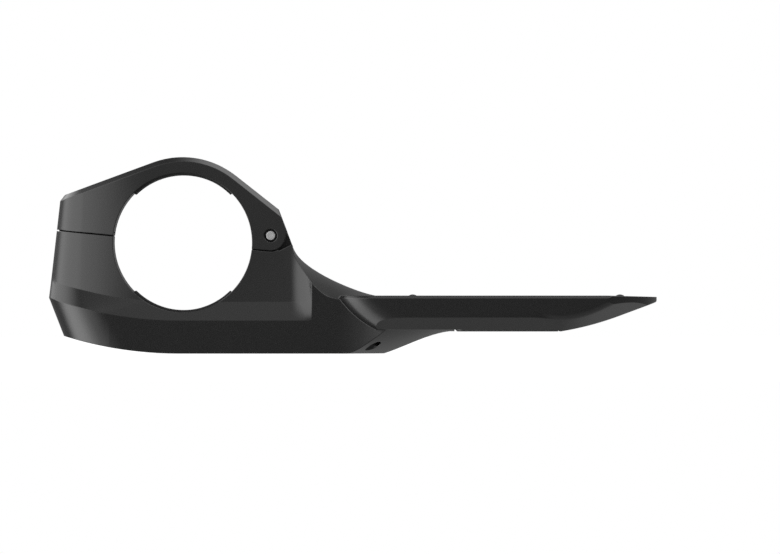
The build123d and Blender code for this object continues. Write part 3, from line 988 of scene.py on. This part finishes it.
@dataclass
class Studio:
    """Pale floor, soft lights, white surround and the long-lens camera."""

    floor_z: float = -26.15 * MM
    floor_r: float = 1.2
    floor_sides: int = 96
    floor_colour: str = "#e6e6e6"
    floor_glow: float = 1.12
    floor_glow_share: float = 0.85
    aim: tuple[float, float] = (48.8 * MM, -8.1 * MM)
    distance: float = 4.5
    frame_w: float = 184.0 * MM
    sensor_mm: float = 36.0
    back_light: float = 0.2
    near_light: float = 0.28
    back_from: float = 0.8
    softboxes: tuple[Softbox, ...] = (
        Softbox(0.0, 42.0, 12.0, 34.0, 0.45),
        Softbox(-68.0, 12.0, 30.0, 64.0, 2.8),
        Softbox(88.0, 54.0, 18.0, 42.0, 2.8),
        Softbox(-144.0, 29.0, 8.0, 26.0, 2.0),
        Softbox(-80.0, -42.0, 12.0, 42.0, 1.9),
        Softbox(0.0, -90.0, 30.0, 85.0, 0.3),
    )

    def build(self) -> None:
        """Builds the whole studio."""
        self.floor()
        self.surround()
        self.camera()
        bpy.context.scene.view_settings.view_transform = "Standard"

    def floor(self) -> None:
        """Lays the pale floor, which keeps a light shadow.

        It leaves the sheen to the surround, and is clear from below.
        """
        mesh = bpy.data.meshes.new("floor")
        build = bmesh.new()
        bmesh.ops.create_circle(
            build, cap_ends=True, segments=self.floor_sides, radius=self.floor_r
        )
        bmesh.ops.translate(build, verts=build.verts, vec=(self.aim[0], 0.0, self.floor_z))
        build.to_mesh(mesh)
        build.free()
        material = bpy.data.materials.new("floor_paint_matt_white")
        material.use_nodes = True
        tree = material.node_tree
        tree.nodes.clear()
        paint = add_node(
            tree, "ShaderNodeBsdfDiffuse", values={"Color": hex_to_linear(self.floor_colour)}
        )
        glow = add_node(
            tree, "ShaderNodeEmission", values={"Color": WHITE, "Strength": self.floor_glow}
        )
        rays = add_node(tree, "ShaderNodeLightPath")
        share = add_node(
            tree,
            "ShaderNodeMath",
            {"operation": "MULTIPLY"},
            {1: self.floor_glow_share},
            {0: rays.outputs["Is Camera Ray"]},
        )
        mixed = add_node(
            tree,
            "ShaderNodeMixShader",
            links={0: share.outputs[0], 1: paint.outputs[0], 2: glow.outputs[0]},
        )
        under = add_node(tree, "ShaderNodeNewGeometry").outputs["Backfacing"]
        clear = add_node(tree, "ShaderNodeBsdfTransparent")
        one_sided = add_node(
            tree, "ShaderNodeMixShader", links={0: under, 1: mixed.outputs[0], 2: clear.outputs[0]}
        )
        material.cycles.emission_sampling = "NONE"
        add_node(tree, "ShaderNodeOutputMaterial", links={"Surface": one_sided.outputs[0]})
        floor = mesh_object("floor", mesh, material)
        floor.visible_glossy = False

    def surround(self) -> None:
        """Paints the world: white to the eye, with soft patches of light for the mount."""
        world = bpy.data.worlds.new("surround")
        bpy.context.scene.world = world
        world.use_nodes = True
        tree = world.node_tree
        tree.nodes.clear()
        direction = add_node(tree, "ShaderNodeTexCoord").outputs["Generated"]
        parts = add_node(tree, "ShaderNodeSeparateXYZ", links={0: direction})
        light = add_node(
            tree,
            "ShaderNodeMapRange",
            {"interpolation_type": "SMOOTHSTEP"},
            {
                "From Min": 0.0,
                "From Max": self.back_from,
                "To Min": self.near_light,
                "To Max": self.back_light,
            },
            {"Value": parts.outputs["Y"]},
        ).outputs[0]
        for box in self.softboxes:
            facing = add_node(
                tree,
                "ShaderNodeVectorMath",
                {"operation": "DOT_PRODUCT"},
                {1: box.direction()},
                {0: direction},
            )
            patch = add_node(
                tree,
                "ShaderNodeMapRange",
                {"interpolation_type": "SMOOTHSTEP"},
                {
                    "From Min": math.cos(math.radians(box.edge)),
                    "From Max": math.cos(math.radians(box.core)),
                    "To Min": 0.0,
                    "To Max": box.strength,
                },
                {"Value": facing.outputs["Value"]},
            )
            light = add_node(
                tree, "ShaderNodeMath", {"operation": "ADD"}, links={0: light, 1: patch.outputs[0]}
            ).outputs[0]
        rays = add_node(tree, "ShaderNodeLightPath")
        lit = add_node(
            tree, "ShaderNodeBackground", values={"Color": WHITE}, links={"Strength": light}
        )
        seen = add_node(tree, "ShaderNodeBackground", values={"Color": WHITE, "Strength": 1.0})
        mixed = add_node(
            tree,
            "ShaderNodeMixShader",
            links={0: rays.outputs["Is Camera Ray"], 1: lit.outputs[0], 2: seen.outputs[0]},
        )
        add_node(tree, "ShaderNodeOutputWorld", links={"Surface": mixed.outputs[0]})

    def camera(self) -> None:
        """Sets up the camera, square on to the mount's side."""
        lens = bpy.data.cameras.new("camera")
        lens.sensor_width = self.sensor_mm
        lens.lens = self.sensor_mm * self.distance / self.frame_w
        camera = bpy.data.objects.new("camera", lens)
        bpy.context.scene.collection.objects.link(camera)
        camera.location = (self.aim[0], -self.distance, self.aim[1])
        camera.rotation_euler = (math.radians(90), 0.0, 0.0)
        bpy.context.scene.camera = camera


def main() -> None:
    """Builds and dresses the mount, then its studio."""
    logging.basicConfig(level=logging.INFO, format="%(name)s: %(message)s")
    finishes = Finishes()
    for assembly in (Housing, Jaw, GripPads, TwistLock, Fixings):
        assembly(finishes).build()
    Studio().build()


if __name__ == "__main__":
    main()
